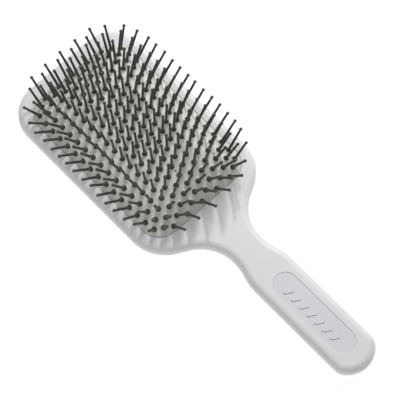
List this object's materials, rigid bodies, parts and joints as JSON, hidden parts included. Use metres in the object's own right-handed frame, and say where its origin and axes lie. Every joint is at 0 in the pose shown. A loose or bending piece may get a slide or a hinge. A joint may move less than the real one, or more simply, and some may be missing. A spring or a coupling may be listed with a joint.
{
  "type": "paddle hairbrush",
  "caption": "Flat rectangular paddle hairbrush with a domed air cushion of ball-tipped pins and a slim straight handle with an oval inlay.",
  "frame": {"origin": "centre of the brush's flat back, half way along its length; the brush lies on its back", "axes": "+Z out of the bristle face, +Y along the brush from the handle's end to the tip of the head, +X to the right seen from above with the head up"},
  "size_m": [0.0878, 0.249, 0.0386],
  "materials": {
    "white_plastic": "satin moulded white",
    "inlay_plastic": "satin, slightly cooler white",
    "cushion_rubber": "soft matte pale grey",
    "pin_nylon": "satin charcoal nylon"
  },
  "bodies": {
    "brush_body": {"body_moulding": "white_plastic", "handle_inlay": "inlay_plastic", "air_cushion": "cushion_rubber"},
    "crown": {"crown_pins": "pin_nylon"},
    "edge_band": {"edge_pins_heel": "pin_nylon", "edge_pins_tip": "pin_nylon"},
    "rim_band": {"rim_pins_heel": "pin_nylon", "rim_pins_left": "pin_nylon", "rim_pins_right": "pin_nylon", "rim_pins_tip": "pin_nylon"},
    "foot_band": {"foot_pins_heel": "pin_nylon", "foot_pins_tip": "pin_nylon"},
    "lower_band": {"lower_pins_heel": "pin_nylon", "lower_pins_left": "pin_nylon", "lower_pins_right": "pin_nylon", "lower_pins_tip": "pin_nylon"},
    "middle_band": {"middle_pins_heel": "pin_nylon", "middle_pins_left": "pin_nylon", "middle_pins_right": "pin_nylon", "middle_pins_tip": "pin_nylon"},
    "upper_band": {"upper_pins_heel": "pin_nylon", "upper_pins_left": "pin_nylon", "upper_pins_right": "pin_nylon", "upper_pins_tip": "pin_nylon"},
    "shoulder_band": {"shoulder_pins_heel": "pin_nylon", "shoulder_pins_left": "pin_nylon", "shoulder_pins_right": "pin_nylon", "shoulder_pins_tip": "pin_nylon"}
  },
  "joints": [
    {"name": "cushion_press", "type": "slide", "parent": "brush_body", "child": "crown", "axis": [0, 0, -1], "range_m": [0, 0.004], "stiffness_N_per_m": 1500, "deforming": ["air_cushion"]},
    {"name": "edge_press", "type": "slide", "parent": "brush_body", "child": "edge_band", "axis": [0, 0, -1], "range_m": [0, 0.000708]},
    {"name": "rim_press", "type": "slide", "parent": "brush_body", "child": "rim_band", "axis": [0, 0, -1], "range_m": [0, 0.00116]},
    {"name": "foot_press", "type": "slide", "parent": "brush_body", "child": "foot_band", "axis": [0, 0, -1], "range_m": [0, 0.00168]},
    {"name": "lower_press", "type": "slide", "parent": "brush_body", "child": "lower_band", "axis": [0, 0, -1], "range_m": [0, 0.0022]},
    {"name": "middle_press", "type": "slide", "parent": "brush_body", "child": "middle_band", "axis": [0, 0, -1], "range_m": [0, 0.00265]},
    {"name": "upper_press", "type": "slide", "parent": "brush_body", "child": "upper_band", "axis": [0, 0, -1], "range_m": [0, 0.00328]},
    {"name": "shoulder_press", "type": "slide", "parent": "brush_body", "child": "shoulder_band", "axis": [0, 0, -1], "range_m": [0, 0.00356]}
  ],
  "couplings": [
    {"joint": "edge_press", "follows": "cushion_press", "ratio": 0.177},
    {"joint": "rim_press", "follows": "cushion_press", "ratio": 0.289},
    {"joint": "foot_press", "follows": "cushion_press", "ratio": 0.419},
    {"joint": "lower_press", "follows": "cushion_press", "ratio": 0.55},
    {"joint": "middle_press", "follows": "cushion_press", "ratio": 0.663},
    {"joint": "upper_press", "follows": "cushion_press", "ratio": 0.82},
    {"joint": "shoulder_press", "follows": "cushion_press", "ratio": 0.889}
  ]
}
